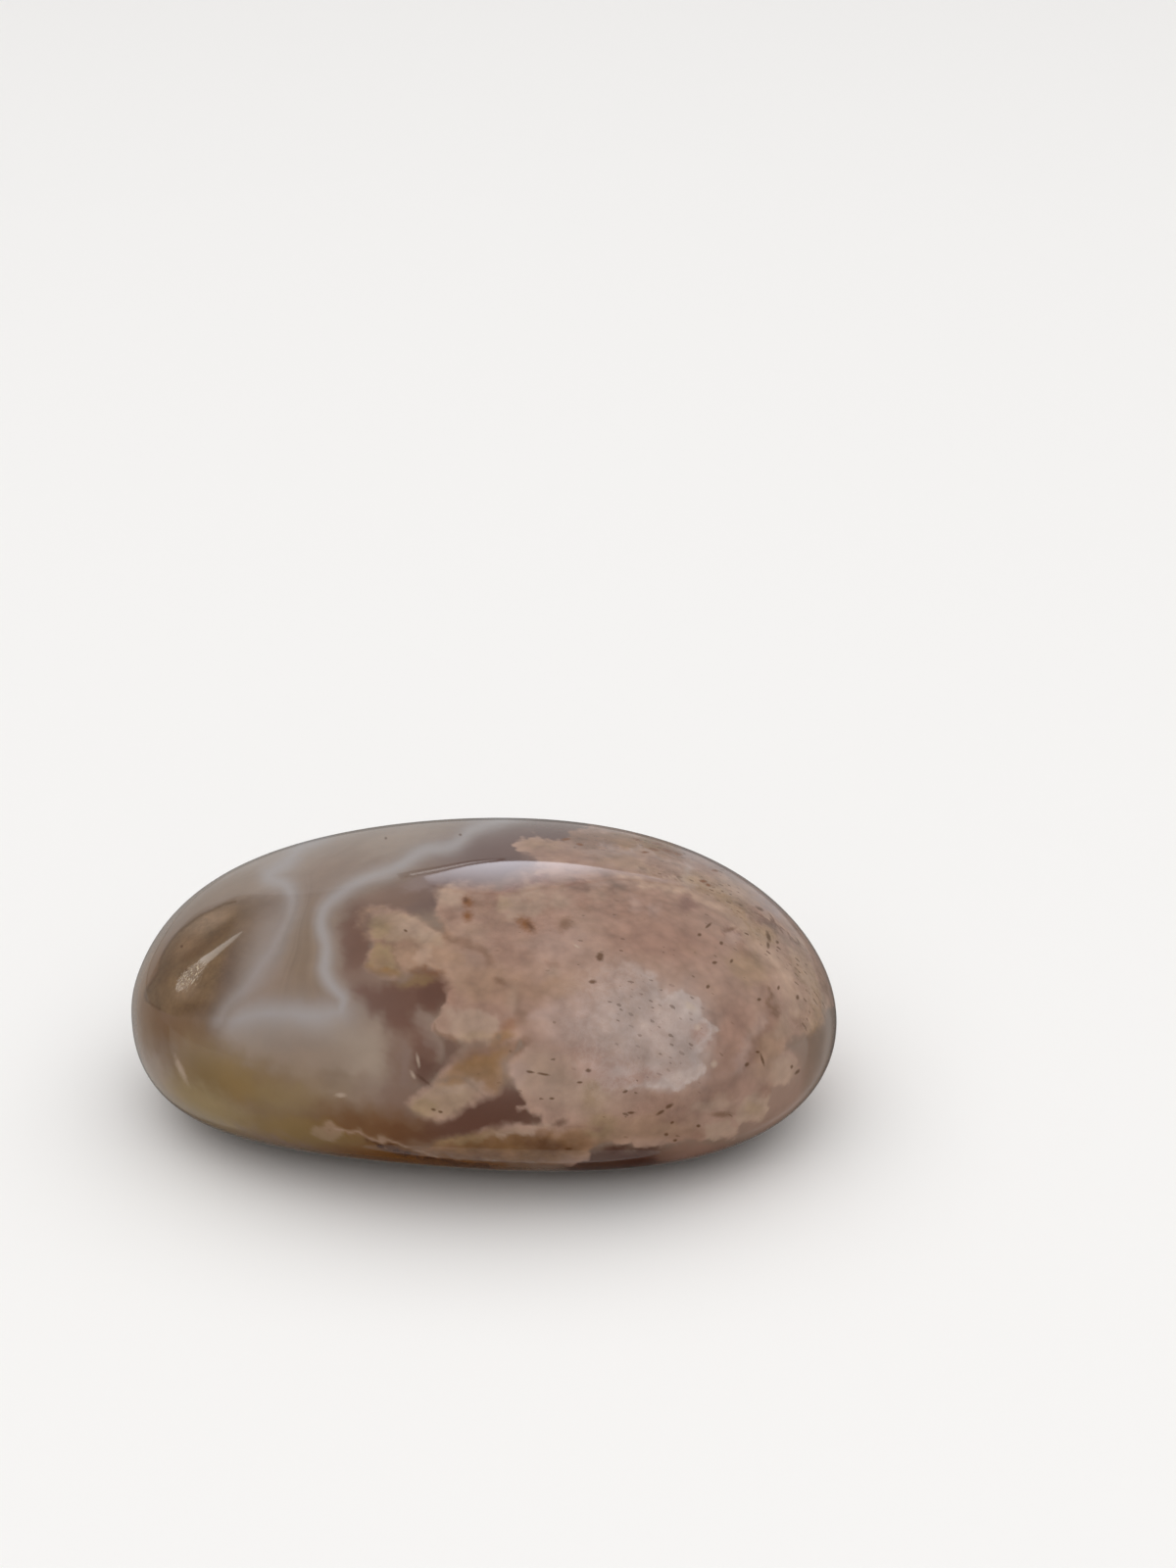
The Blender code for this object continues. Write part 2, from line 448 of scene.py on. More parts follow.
# Colour in the chalcedony, laid on in this order: the colour, its strength, and then what painted() takes:
# a spot's centre, two radii, turn in degrees and edge, a patch's outline and blur, or a line and its reach.
NEAR_GROUND = [
    (PALE_TAN, 0.9, 260, 876, 120, 34, -20),
    (PALE_TAN, 0.8, 400, 858, 90, 18, -8),
    (GREY_BROWN, 0.8, 350, 890, 40, 30, 0, 1.5),
    (PLUM_GREY, 1.0, 530, 866, 98, 34, -8),
    (PLUM_GREY, 0.8, 440, 912, 62, 20, -14),
    (PLUM_BROWN, 0.8, 395, 918, 40, 14, -14),
    # Painted reflection: a faint lilac haze at the left tip of the window's reflection.
    (LILAC_GREY, 0.4, 430, 901, 22, 9, -14),
    (SHADOW_BROWN, 0.9, 234, 990, 18, 56, 14, 1.5),
    (SHADOW_BROWN, 0.5, 262, 926, 30, 12, -8, 1.5),
    (ASH, 0.7, 264, 972, 24, 50, 24, 1.5),
    (WARM_TAN, 0.95, 311, 968, 24, 46),
    (WARM_TAN, 0.6, 306, 1010, 30, 14, -8),
    (ASH, 0.8, 286, 1036, 70, 16),
    (DARK_PLUM, 0.9, 363, 962, 17, 44),
    (MILK, 0.9, MILK_CLOUD, 1.7),
    (ASH, 0.5, 290, 1056, 60, 16, 2),
    (WARM_TAN, 0.6, 348, 1104, 30, 12, 12),
    (TAWNY, 0.9, 196, 1056, 36, 16, 22, 1.5),
    (OLIVE, 0.9, 225, 1096, 52, 26, 22, 1.5),
    (OLIVE, 0.6, 275, 1112, 66, 26, 10, 1.5),
    (PALE_OLIVE, 0.8, 206, 1126, 54, 18, 28, 1.5),
    (PALE_OLIVE, 0.4, 290, 1150, 60, 10, 10, 1.5),
    (PALE_OLIVE, 0.3, 292, 1120, 40, 16, 10),
    (TAWNY, 0.8, 146, 1030, 16, 50, -6),
    (TAWNY, 0.8, 152, 982, 12, 40, 26),
    (WARM_TAN, 0.7, 190, 932, 36, 12, -40),
    (WARM_TAN, 0.5, 236, 905, 40, 12, -20),
    (OCHRE, 0.4, 170, 1010, 34, 56, 14),
    (RUST_BROWN, 0.25, 176, 1004, 46, 60, 14),
    (OCHRE, 0.25, 208, 1044, 30, 14, -6),
    (OCHRE, 0.22, 310, 1088, 50, 30),
    (PLUM_BROWN, 0.4, 382, 1112, 26, 18),
    (MILK, 0.6, 158, 1096, 16, 24, -24, 1.5),
    (PLUM_BROWN, 0.9, 416, 1078, 24, 46),
    (PLUM_BROWN, 0.7, 374, 998, 22, 10, 10),
    (DARK_PLUM, 1.0, DARK_POCKET, 0.8),
    (DARK_PLUM, 0.85, 434, 1074, 14, 26, -10),
    (RED_BROWN, 0.9, 446, 1010, 20, 24, 14),
    (TAWNY, 0.8, 424, 1001, 22, 6, -12),
    (FAN_GREY, 0.3, LIGHT_FAN, 0.3),
    (FAN_GREY, 0.4, 413, 1086, 6, 26, -6),
    (RED_BROWN, 0.65, DARK_TRIANGLE, 0.35),
    (TAWNY, 0.7, 370, 1150, 60, 16, 8, 1.5),
    (BROWN_SHADE, 0.8, 424, 1150, 36, 18, -8),
    (DARK_PLUM, 1.0, 500, 1136, 66, 24, -17),
    (RED_BROWN, 0.7, DARK_WEDGE, 0.5),
    (OLIVE, 0.7, 320, 1156, 70, 16, 12),
    (RUST_BROWN, 0.2, 366, 1150, 34, 8, 10, 1.5),
    (PLUM_BROWN, 0.8, 406, 1124, 22, 22, 0, 1.5),
    (BROWN_SHADE, 0.7, 388, 1152, 44, 11, 14),
    (RED_BROWN, 0.5, 410, 1156, 26, 8, 14),
    (OCHRE, 0.35, 375, 1142, 60, 20, 14),
    (RUST_BROWN, 0.25, 375, 1146, 70, 22, 14),
    (CREAM, 0.4, LEDGE_CHIP, 0.25),
    # Painted shade: the bottom edge, darkened towards the floor.
    (RUST_BROWN, 1.0, 440, 1186, 110, 14, 6),
    (OCHRE, 0.8, 404, 1174, 30, 7, 12),
    (HONEY_TAN, 0.5, ((330, 1151), (352, 1154), (368, 1157), (387, 1163), (404, 1167)), 0.2),
    # Painted shade: a dark line under the ledge, along the bottom edge.
    (UMBER, 0.8, ((376, 1164), (400, 1172), (420, 1179), (440, 1183), (470, 1187), (500, 1191)), 0.2),
    # Painted highlight: a thin pale line on the ledge's upper lip.
    (CREAM, 0.4, ((343, 1153), (367, 1157), (387, 1163), (410, 1168), (433, 1175), (450, 1180)), 0.09),
    # Painted shade: this row and the next two darken the bottom edge on the right, towards the floor.
    (MAROON, 1.0, 635, 1184, 60, 16, -4),
    (UMBER, 0.8, 606, 1188, 30, 12, -4),
    (DUSK, 0.9, 712, 1178, 40, 14, -8),
    (ROSE_BEIGE, 0.8, 800, 1130, 60, 60, 24),
    (GREY_BROWN, 0.7, 838, 1086, 18, 50, 14),
]

# Colour in the plumes.
NEAR_PETALS = [
    (DEEP_ROSE, 0.9, 672, 958, 62, 24, 8),
    (DEEP_ROSE, 0.7, 640, 922, 70, 18, 8),
    (DEEP_ROSE, 0.6, 552, 940, 30, 24),
    (DUSK, 0.4, 500, 930, 50, 26),
    (SHELL_PINK, 0.4, 574, 962, 30, 16),
    (DUSK, 0.6, 520, 974, 26, 14, 24),
    (HONEY_TAN, 0.9, 500, 1006, 46, 22, 4),
    (HONEY_TAN, 0.7, 562, 1010, 36, 14, -6),
    (DUSK, 0.35, 522, 1024, 44, 34),
    (SHELL_PINK, 0.7, 592, 1044, 46, 28),
    (ROSE, 0.6, 600, 1081, 40, 16),
    (DEEP_ROSE, 0.8, 598, 1081, 34, 14),
    (DUSK, 0.5, 720, 1100, 22, 8, -34),
    (DEEP_ROSE, 0.8, 752, 1062, 24, 44),
    (DUSK, 0.6, 700, 1122, 66, 14, -16),
    (DUSK, 0.25, 660, 1112, 110, 30, -4),
    (CREAM, 0.7, 560, 1096, 44, 26, 6),
    (CREAM, 0.5, 600, 1124, 40, 14),
    (HONEY_TAN, 0.9, 640, 1152, 70, 14, -2),
    (PETAL_OLIVE, 0.6, 612, 1150, 16, 16),
    (PETAL_OLIVE, 0.5, 604, 1118, 12, 14),
    (BROWN_SHADE, 0.4, 700, 1160, 20, 9),
    (ROSE, 0.7, 640, 1096, 50, 12, 4),
    # the upper lobes
    (CREAM, 0.9, 459, 912, 15, 13),
    (PALE_PEACH, 0.6, 461, 908, 10, 7),
    (DUSK, 0.5, 458, 933, 10, 5, 10),
    (CREAM, 0.5, 484, 948, 16, 10, 10),
    (BROWN_SHADE, 0.5, 488, 924, 10, 5, 10, 1.5),
    (DUSK, 0.7, 500, 918, 8, 14, 20),
    (MAUVE, 0.9, 522, 904, 14, 7, -14),
    (CREAM, 0.65, UPPER_LOBE, 0.25),
    (PETAL_OLIVE, 0.4, 514, 922, 8, 8),
    (CREAM, 0.6, TOP_LOBE, 0.25),
    (CREAM, 0.6, 549, 924, 9, 7),
    (DUSK, 0.35, 500, 948, 34, 14, 10),
    (MAUVE, 0.7, 551, 897, 16, 4, 10),
    (CREAM, 0.6, 570, 918, 12, 10),
    (MAUVE, 0.6, 592, 904, 14, 5, 14),
    (DUSK, 0.7, 596, 922, 7, 8),
    (CREAM, 0.4, 610, 912, 10, 8),
    (DUSK, 0.5, 638, 931, 8, 6),
    (SHELL_PINK, 0.5, 648, 922, 7, 8),
    (SHELL_PINK, 0.5, 668, 928, 8, 7),
    (DUSK, 0.15, ((600, 905), (620, 907), (640, 906), (656, 912), (672, 910)), 0.35),
    (SHELL_PINK, 0.4, 622, 901, 22, 6, 4),
    (CREAM, 0.5, 565, 992, 8, 7),
    (DUSK, 0.5, 562, 984, 9, 3, 10),
    # the petals on the left
    (HONEY_TAN, 0.9, 420, 968, 50, 38, 10),
    (PLUM_BROWN, 0.9, 371, 944, 11, 26, 10),
    (HONEY_TAN, 0.7, ((393, 925), (378, 926), (368, 934), (366, 945), (372, 957)), 0.14),
    (PETAL_TAN, 0.9, TOP_PETAL, 0.3),
    (PETAL_OLIVE, 0.7, 388, 948, 10, 10),
    (CREAM, 0.8, 426, 948, 22, 11, 20),
    (PETAL_OLIVE, 0.9, LEFT_PETAL, 0.35),
    (BROWN_SHADE, 0.4, ((383, 963), (392, 961), (400, 966), (403, 980), (410, 992)), 0.2),
    (BROWN_SHADE, 0.3, 384, 980, 12, 14),
    (PALE_PEACH, 0.6, 432, 973, 9, 11, 0, 3),
    (HONEY_TAN, 0.6, 462, 976, 14, 8, 10),
    (DUSK, 0.5, ((384, 960), (396, 963), (410, 963), (424, 964)), 0.3),
    (AMBER, 0.9, 392, 992, 20, 5, 14),
    (DEEP_AMBER, 0.9, 434, 993, 18, 5),
    # Painted shade: a soft brown band in the crease between the left petals and the main plume.
    (BROWN_SHADE, 0.7, ((447, 947), (456, 955), (466, 960), (480, 964), (492, 972), (502, 982)), 0.45),
    (DUSK, 0.8, 458, 1010, 8, 9, 20),
    (DUSK, 0.7, 458, 1022, 10, 4),
    (DUSK, 0.45, 464, 1018, 12, 8),
    (DUSK, 0.4, ((456, 1027), (480, 1026), (500, 1029), (512, 1036)), 0.4),
    (CREAM, 0.75, WHITE_PETAL, 0.22),
    # Painted shade: the dusk and brown rows from here to the seam below darken the white petal's lower left
    # edge.
    (DUSK, 0.55, 452, 1044, 9, 14),
    (BROWN_SHADE, 0.45, 458, 1062, 12, 6, 10),
    (BROWN_SHADE, 0.4, 476, 1066, 14, 5),
    (PETAL_OLIVE, 0.4, 486, 1058, 18, 5, -4),
    (BROWN_SHADE, 0.6, ((443, 1049), (447, 1055), (456, 1060), (468, 1064)), 0.18),
    (CREAM, 0.4, 524, 1020, 7, 14),
    (BROWN_SHADE, 0.5, 532, 1038, 7, 9),
    (DEEP_AMBER, 0.5, 520, 1046, 9, 6, -30),
    (SHELL_PINK, 0.8, 556, 1037, 18, 8),
    (AMBER, 0.8, 512, 1060, 14, 8, -30),
    (BROWN_SHADE, 0.7, 528, 1068, 16, 6, -36),
    (BROWN_SHADE, 0.5, 495, 1076, 28, 10, -10),
    (SHELL_PINK, 0.6, 528, 1096, 10, 14),
    (PETAL_TAN, 1.0, 456, 1121, 40, 19, -20, 3),
    (CREAM, 0.6, 464, 1110, 20, 7, -14),
    (BROWN_SHADE, 0.7, 486, 1074, 34, 9, -22),
    (AMBER, 0.8, 484, 1090, 38, 12, -22, 2.5),
    (AMBER, 0.7, 506, 1102, 12, 16),
    (PETAL_OLIVE, 0.6, 432, 1130, 14, 9, -10),
    # the skirt along the bottom
    (SKIRT_TAN, 0.95, 510, 1172, 100, 20, 0, 3),
    (SKIRT_TAN, 0.5, 590, 1166, 22, 14),
    (PETAL_OLIVE, 0.5, 478, 1162, 34, 5, -8),
    (CREAM, 0.4, 526, 1153, 34, 5, -10),
    (CREAM, 0.6, ((510, 1158), (528, 1156), (546, 1152), (562, 1150)), 0.2),
    # Painted shade: this row and the next two darken the skirt towards the bottom edge.
    (UMBER, 0.4, 500, 1182, 100, 6, 2),
    (UMBER, 0.7, 500, 1190, 110, 6, 2),
    (UMBER, 0.6, 560, 1170, 30, 8, 4),
    (SKIRT_TAN, 0.6, 530, 1182, 24, 4),
    (DUSK, 0.7, ((577, 1150), (590, 1150), (602, 1149), (616, 1150)), 0.25),
    (DUSK, 0.5, 684, 1142, 30, 6, -4),
    (DUSK, 0.6, 712, 1158, 8, 8),
    # the right-hand lobes
    (CREAM, 0.7, 726, 1128, 20, 8, -10),
    (CREAM, 0.9, CORNER_LOBE, 0.22),
    (PETAL_OLIVE, 0.4, 768, 1132, 10, 8),
    (CREAM, 0.8, BOTTOM_LOBE, 0.22),
    (HONEY_TAN, 0.8, 784, 1068, 18, 34, 10),
    (BROWN_SHADE, 0.5, 772, 1070, 8, 12, 20),
    (SHELL_PINK, 0.6, ((781, 1040), (773, 1052), (764, 1062), (760, 1076), (754, 1088)), 0.5),
    (DUSK, 0.6, ((786, 1042), (778, 1054), (770, 1064), (766, 1078), (761, 1090)), 0.25),
    (CREAM, 0.8, 800, 1092, 14, 18, 20),
    (DUSK, 0.6, 782, 1112, 10, 6, -30),
    # the right-hand rim, from the top down
    (HONEY_TAN, 0.8, 550, 862, 22, 7),
    (BROWN_SHADE, 0.6, 600, 857, 40, 8, 6),
    (DUSK, 0.6, 576, 873, 44, 6, 4),
    (BROWN_SHADE, 0.7, 648, 858, 40, 6, 12),
    (HONEY_TAN, 0.7, 640, 880, 44, 8, 14),
    (BROWN_SHADE, 0.6, 676, 864, 30, 7, 16),
    (AMBER, 0.5, 672, 862, 30, 6, 16),
    # Painted shade above the ridge along the top rim.
    (DUSK, 0.8, ((664, 881), (680, 889), (696, 898)), 0.45),
    (LILAC_GREY, 0.8, ((700, 868), (725, 880), (750, 895), (775, 914), (793, 930)), 0.8),
    (SHELL_PINK, 0.6, 812, 966, 9, 30, -40),
    (LILAC_GREY, 0.25, 712, 886, 14, 8, 30),
    (DUSK, 0.5, 722, 888, 14, 7, 34),
    # Painted shade: the dark side just above the ridge along the top rim.
    (BROWN_SHADE, 0.6, ((655, 889), (675, 893), (692, 896), (708, 899), (722, 901)), 0.16),
    (CREAM, 0.5, 752, 904, 26, 6, 34),
    (BROWN_SHADE, 0.5, 600, 853, 44, 6, 8),
    (AMBER, 0.55, 652, 862, 34, 7, 13),
    (VEIN_LILAC, 0.35,
     ((615, 860), (625, 867), (640, 870), (655, 866), (668, 872), (682, 879), (702, 884)), 0.15),
    (SHELL_PINK, 0.6, 612, 871, 18, 4, 6),
    (BROWN_SHADE, 0.5, 690, 873, 16, 5, 26),
    (VEIN_LILAC, 0.8, ((702, 884), (703, 891), (698, 900), (703, 907)), 0.3),
    (DUSK, 0.6, 713, 890, 8, 4, 20),
    (VEIN_TAN, 0.8, ((704, 898), (724, 905), (742, 916), (756, 930), (766, 946), (780, 956)), 0.8),
    # Painted highlight: the bright line along the ridge of the top rim.
    (PALE_PEACH, 0.8,
     ((632, 893), (650, 897), (665, 903), (690, 906), (712, 915), (730, 925), (745, 935), (760, 948)), 0.3),
    (MAUVE, 0.9, 703, 922, 11, 8, 10, 1.5),
    (SHELL_PINK, 0.6, 748, 955, 9, 8),
    (MAUVE, 0.8, ((738, 951), (743, 947), (750, 947), (756, 952)), 0.2),
    (DUSK, 0.7, 760, 970, 6, 12, -30),
    (VEIN_TAN, 0.6, 766, 988, 24, 16, 30),
    # Partly a pale peach strip down the right-hand rim and partly a painted highlight on it.
    (PALE_PEACH, 0.8, ((768, 958), (784, 974), (796, 988), (803, 1002), (809, 1018), (815, 1032)), 0.65),
    (VEIN_TAN, 0.6, 780, 950, 16, 10, 30),
    (VEIN_TAN, 0.7, ((815, 978), (828, 1000), (836, 1024), (832, 1050)), 1.0),
    (CREAM, 0.5, ((800, 958), (812, 972), (822, 990), (828, 1008)), 0.3),
    (DUSK, 0.6, ((822, 974), (834, 990), (842, 1010)), 0.3),
    (DUSK, 0.6, 786, 1028, 9, 22, -10),
    (BROWN_SHADE, 0.8, ((783, 1008), (787, 1016), (782, 1022), (792, 1028), (792, 1036)), 0.2),
    (CREAM, 0.5, 800, 1046, 6, 16, 10),
    (PLUM_GREY, 0.8, ((764, 931), (774, 935), (784, 941), (792, 947)), 0.35),
    (DARK_PLUM, 0.9, ((764, 930), (778, 934), (790, 942), (802, 952), (814, 962), (822, 969)), 0.14),
    (PALE_PEACH, 0.8, ((776, 931), (788, 938), (797, 946), (808, 955), (820, 966)), 0.09),
    # fine pale veins and freckled patches on the rim
    (PALE_PEACH, 0.6,
     ((645, 884), (658, 888), (668, 894), (684, 896), (700, 901), (714, 909), (728, 915)), 0.12),
    (CREAM, 0.6,
     ((735, 905), (750, 917), (760, 927), (764, 940), (775, 952), (786, 968), (790, 984)), 0.14),
    (CREAM, 0.6, ((806, 962), (812, 980), (822, 994), (826, 1012), (834, 1026)), 0.16),
    (PALE_PEACH, 0.5, ((790, 968), (800, 984), (806, 1004), (818, 1018), (820, 1036), (828, 1046)), 0.14),
    (BROWN_SHADE, 0.45, 722, 901, 11, 4, 24),
    (BROWN_SHADE, 0.4, 756, 926, 8, 4, 60),
    (DUSK, 0.5, 771, 933, 11, 8, 40),
    (BROWN_SHADE, 0.4, 840, 1018, 5, 22),
    (BROWN_SHADE, 0.35, 818, 1040, 7, 12, 20),
    # the heart
    (CORE_WHITE, 0.8, 656, 1044, 52, 44),
    (CORE_WHITE, 0.9, 700, 1060, 28, 50),
    (ROSE, 0.8, 714, 1056, 12, 16),
    (ROSE, 0.5, 654, 1102, 36, 6, 4),
    (SHELL_PINK, 0.35, 622, 1090, 30, 12, 6),
    (CORE_RIM, 0.9, 702, 1030, 10, 18, -30),
    (CORE_RIM, 0.6, 690, 1100, 26, 9, -20),
    (CORE_RIM, 0.5, 634, 1094, 14, 5, -8),
    (CORE_RIM, 0.5, 668, 1086, 10, 8),
]

# Colour in the weathered plume at the left end.
END_COLOURS = [
    (DUSTY_TAN, 0.9, 214, 940, 26, 9, -28, 1.5),
    (DUSTY_TAN, 0.25, 190, 968, 16, 9, -40, 1.5),
    (DUSTY_TAN, 0.6, 190, 1010, 14, 10, -30, 1.5),
    (DARK_EARTH, 0.8, 222, 954, 28, 7, -38, 1.5),
    (DARK_EARTH, 0.6, 196, 974, 14, 5, -30, 1.5),
    (SHADOW_BROWN, 0.8, 234, 990, 9, 34, 16, 1.5),
    (DARK_EARTH, 0.5, 168, 990, 8, 22, 22, 1.5),
    (DARK_EARTH, 0.55, 202, 1030, 26, 10, 0, 1.5),
    (OCHRE, 0.25, 190, 966, 20, 14, -40),
]

# How soft, porous, dappled, veined or banded the stone is from place to place, and where its dust lies:
# rough, bumpy, and with white glints painted into its colour. Each is a sum of spots: a strength, and
# then the same values.
SOFT_EDGES = [
    (1, 430, 995, 60, 12, 6, 1.5), (1, 490, 1085, 34, 30), (0.6, 500, 900, 70, 16, -8),
    (0.5, 460, 1120, 60, 26, -20), (0.3, 480, 1155, 70, 14, -10), (1, 544, 888, 30, 16),
    (0.4, 828, 1070, 30, 46), (0.5, 370, 945, 12, 30), (0.3, 416, 940, 50, 24, 20),
]
POROUS = [
    (0.5, 728, 906, 28, 9, 24), (0.5, 752, 930, 18, 10, 50), (0.4, 788, 968, 28, 12, 46),
    (0.45, 820, 1000, 28, 12, 62), (0.4, 832, 1038, 14, 24), (0.9, 672, 864, 34, 8, 16),
    (0.5, 730, 886, 16, 6, 30), (0.5, 600, 860, 50, 8, 8), (0.07, 640, 1110, 170, 60),
    (0.34, 655, 1026, 36, 34), (0.3, 678, 1074, 28, 26), (0.08, 680, 980, 150, 90),
]
DAPPLED = [(1, 625, 912, 80, 24, 8), (0.6, 760, 1030, 40, 60), (0.7, 660, 876, 60, 14, 14)]
VEINED = [
    (0.9, 775, 945, 74, 24, 42), (0.9, 818, 1010, 26, 48), (0.7, 690, 888, 60, 14, 18),
    (0.4, 620, 1124, 130, 28), (0.3, 560, 930, 100, 60),
]
BANDED = [(1, 308, 970, 30, 60, 4), (0.5, 360, 900, 90, 40, -20)]
DUST_AND_GLINTS = [(1, 193, 998, 15, 8, -48, 1.5), (0.6, 203, 988, 8, 5, -44, 1.5)]

# Small marks: the colour, its strength and the blur of its edge, then for each its centre, its half length
# and half width, and its turn in degrees, clockwise in the picture.
MARK_DEPTH = 1.3  # how deep a mark goes, in millimetres
MARK_REACH = 1.6  # how far it fades out, in units of its radii
SMALL_MARKS = [
    (PORE_BROWN, 0.75, 0.7, [
        (612, 977, 4, 3.9, 0), (604, 1001, 4, 2, 0), (684, 1129, 4, 2, -30), (673, 1136, 4.4, 1.7, -30),
        (643, 1135, 4, 1.4, 0), (687, 1146, 2, 1.4, -20), (712, 1149, 2.1, 1.8, 0), (681, 1158, 2, 1.7, 0),
        (690, 1163, 2, 1.4, 0), (580, 1173, 3.6, 1.6, 0), (562, 1120, 2.6, 1.4, 0),
        (638, 1113, 2.6, 1.4, -20), (600, 1092, 2.6, 2.1, 0), (541, 1093, 4, 1.3, 8),
        (555, 1096, 5.6, 1.3, 10), (591, 1105, 2.6, 1.1, 0), (785, 955, 2.2, 6.4, -12),
        (783, 965, 1.8, 3.5, 0), (775, 928, 4.8, 1.6, 25), (793, 961, 2, 1.4, 40),
        (723, 944, 4.8, 1.2, -35), (712, 954, 2, 1.5, 0), (736, 963, 2, 1.7, 0), (728, 982, 2.6, 1.4, 0),
        (723, 1006, 2, 1.7, -30), (747, 980, 2.4, 1.4, -50), (814, 1018, 1.7, 2.4, 0),
        (794, 1008, 1.3, 2.1, 20), (774, 1020, 2, 1.4, 0), (763, 1087, 2.6, 2.1, -40),
        (772, 1073, 2.2, 1.3, 10), (777, 1081, 1.3, 6.4, -18), (807, 1089, 1.7, 2.1, 20),
        (813, 1094, 3.6, 1.9, -40), (185, 965, 1.7, 1.5, 0), (190, 990, 1.5, 1.4, 0),
        (393, 855, 1.7, 1.3, 20), (470, 851, 1.7, 1.3, 20), (442, 1132, 2.4, 1.5, 20),
        (451, 1134, 2.4, 1.4, 10), (415, 949, 2, 1.1, 30),
    ]),
    (DEEP_AMBER, 0.9, 1.1, [(476, 921, 10, 6.5, 70), (478, 934, 8, 6, 80), (537, 942, 16, 7, 48)]),
    (UMBER, 0.6, 1.0, [(571, 1145, 8, 4, -20), (475, 919, 3, 3, 0), (541, 946, 8, 3, 50)]),
    (BROWN_SHADE, 0.75, 1.0, [
        (577, 942, 12, 8, -60), (744, 949, 9, 2, -14), (736, 1137, 13, 3.4, 4), (508, 1000, 7, 3.5, 20),
    ]),
    # Pale chips and white bits. The first two are painted highlights: light caught along a crack inside the
    # stone.
    (CHIP_AND_GLINT_WHITE, 0.55, 1.0, [
        (426, 1082, 7, 1.8, 80), (421, 1096, 4.5, 2, 60), (184, 1092, 15, 4, 66), (347, 1117, 6, 2.5, -5),
        (728, 1085, 3.5, 4.5, 20), (705, 1027, 7, 4, 40), (712, 1048, 4, 3, 0), (588, 966, 4, 1, 30),
    ]),
    (RUST_PIT, 0.9, 0.8, [
        (672, 861, 8, 1.8, 14), (682, 868, 8, 2.2, 12), (666, 866, 6, 1.4, 10), (650, 857, 6, 1.5, 14),
        (692, 872, 5, 1.5, 14), (658, 869, 4, 1.3, 0), (578, 857, 5, 1.5, -5), (592, 862, 4, 1.4, 10),
        (718, 899, 4, 1.5, 10), (724, 903, 3, 1.4, 20), (731, 888, 4, 1.3, 5),
    ]),
    (PIT_BROWN, 0.85, 0.8, [
        (387, 1170, 3.5, 2.4, 10), (404, 1174, 3, 2, 0), (416, 1177, 4, 2.2, 5), (438, 1181, 6, 2, 10),
    ]),
    (UMBER, 0.7, 0.9, [(432, 1101, 9, 1.6, 40), (456, 1184, 16, 2.2, 8)]),
]

# ---- The markings of the far side ----

FAR_PLUME = [
    (560, 820), (540, 880), (566, 930), (520, 985), (560, 1030), (545, 1075), (600, 1090), (640, 1130),
    (700, 1120), (760, 1140), (800, 1100), (850, 1060), (900, 1030), (900, 860), (700, 800),
]
FAR_LITTLE_PLUME = [
    (300, 1000), (340, 975), (385, 990), (400, 1030), (380, 1075), (330, 1090), (285, 1070), (270, 1030),
]
FAR_CORE = [(660, 920), (720, 915), (760, 960), (750, 1010), (700, 1035), (650, 1010), (630, 960)]
FAR_BAND = [
    (530, 828), (470, 900), (440, 960), (450, 1030), (430, 1095), (436, 1128), (418, 1152), (382, 1160),
    (340, 1150), (296, 1130), (252, 1095), (225, 1030), (240, 960), (300, 900), (330, 850),
]
FAR_GROUND = [
    (PALE_TAN, 0.7, 250, 950, 110, 90, 0, 1),
    (RED_BROWN, 0.8, 480, 1010, 50, 120, 10),
    (OLIVE, 0.6, 250, 1100, 80, 40, 10, 1),
    (DARK_PLUM, 0.7, 620, 1150, 160, 40),
]
FAR_PETALS = [
    (HONEY_TAN, 0.6, 700, 880, 120, 40, 10, 1),
    (DEEP_ROSE, 0.7, 640, 1060, 90, 50, 0, 1),
    (SHELL_PINK, 0.6, 335, 1030, 30, 30, 0, 1),
    (CREAM, 0.7, 585, 905, 34, 22, 20),
    (DUSK, 0.6, ((560, 940), (600, 950), (640, 940), (690, 960)), 0.6),
    (HONEY_TAN, 0.8, 565, 1060, 34, 44),
    (CREAM, 0.6, 610, 1010, 26, 20),
    (DUSK, 0.5, ((590, 1040), (620, 1056), (660, 1060), (720, 1084)), 0.5),
    (CORE_WHITE, 0.9, 700, 970, 60, 50, 0, 1),
]


# ---- The markings over the whole surface ----

NEVER = 9.0  # a distance in millimetres at which a marking has faded out
RIM_BLEND = (-0.12, 0.08)  # between these cosines to the camera the far side gives way to the near side
HAZY_STRETCH = (900, 945, 1000, 1035)  # the left band's hazy stretch fades in and out between these rows
END_FADE = (205, 960, 0.4, 40)  # where the end plume starts to fade: a place, the line's slant and its width


def either_side(near, far, near_share):
    """The near side's field and the far side's, blended over the rim between them."""
    if near.ndim > 1:
        near_share = near_share[:, None]
    return far + near_share * (near - far)


def summed(spots, where):
    """The sum of some spots, each with its strength first, kept between 0 and 1."""
    return np.clip(sum(strength * spot(where, *shape) for strength, *shape in spots), 0, 1)


def facing_camera(points, normals):
    """The cosine of the angle between each normal and the way to the camera."""
    to_camera = CAMERA_PLACE - points
    return np.sum(normals * to_camera, axis=1) / np.linalg.norm(to_camera, axis=1)


def near_band_distance(where, to_right_band, to_left_band):
    """Distance in millimetres to the nearest band of the near side. The left band is wider, and hazy along
    its middle stretch, and the cross band is wider still, so their distances count for less."""
    top, top_end, foot, foot_end = HAZY_STRETCH
    hazy = smooth_step(top, top_end, where[:, 1]) - smooth_step(foot, foot_end, where[:, 1])
    left = to_left_band * (0.8 - 0.35 * hazy) + 0.4 * hazy
    cross = off_line(CROSS_BAND, where) * 0.45 + 0.15
    return np.min([to_right_band, left, cross], axis=0)


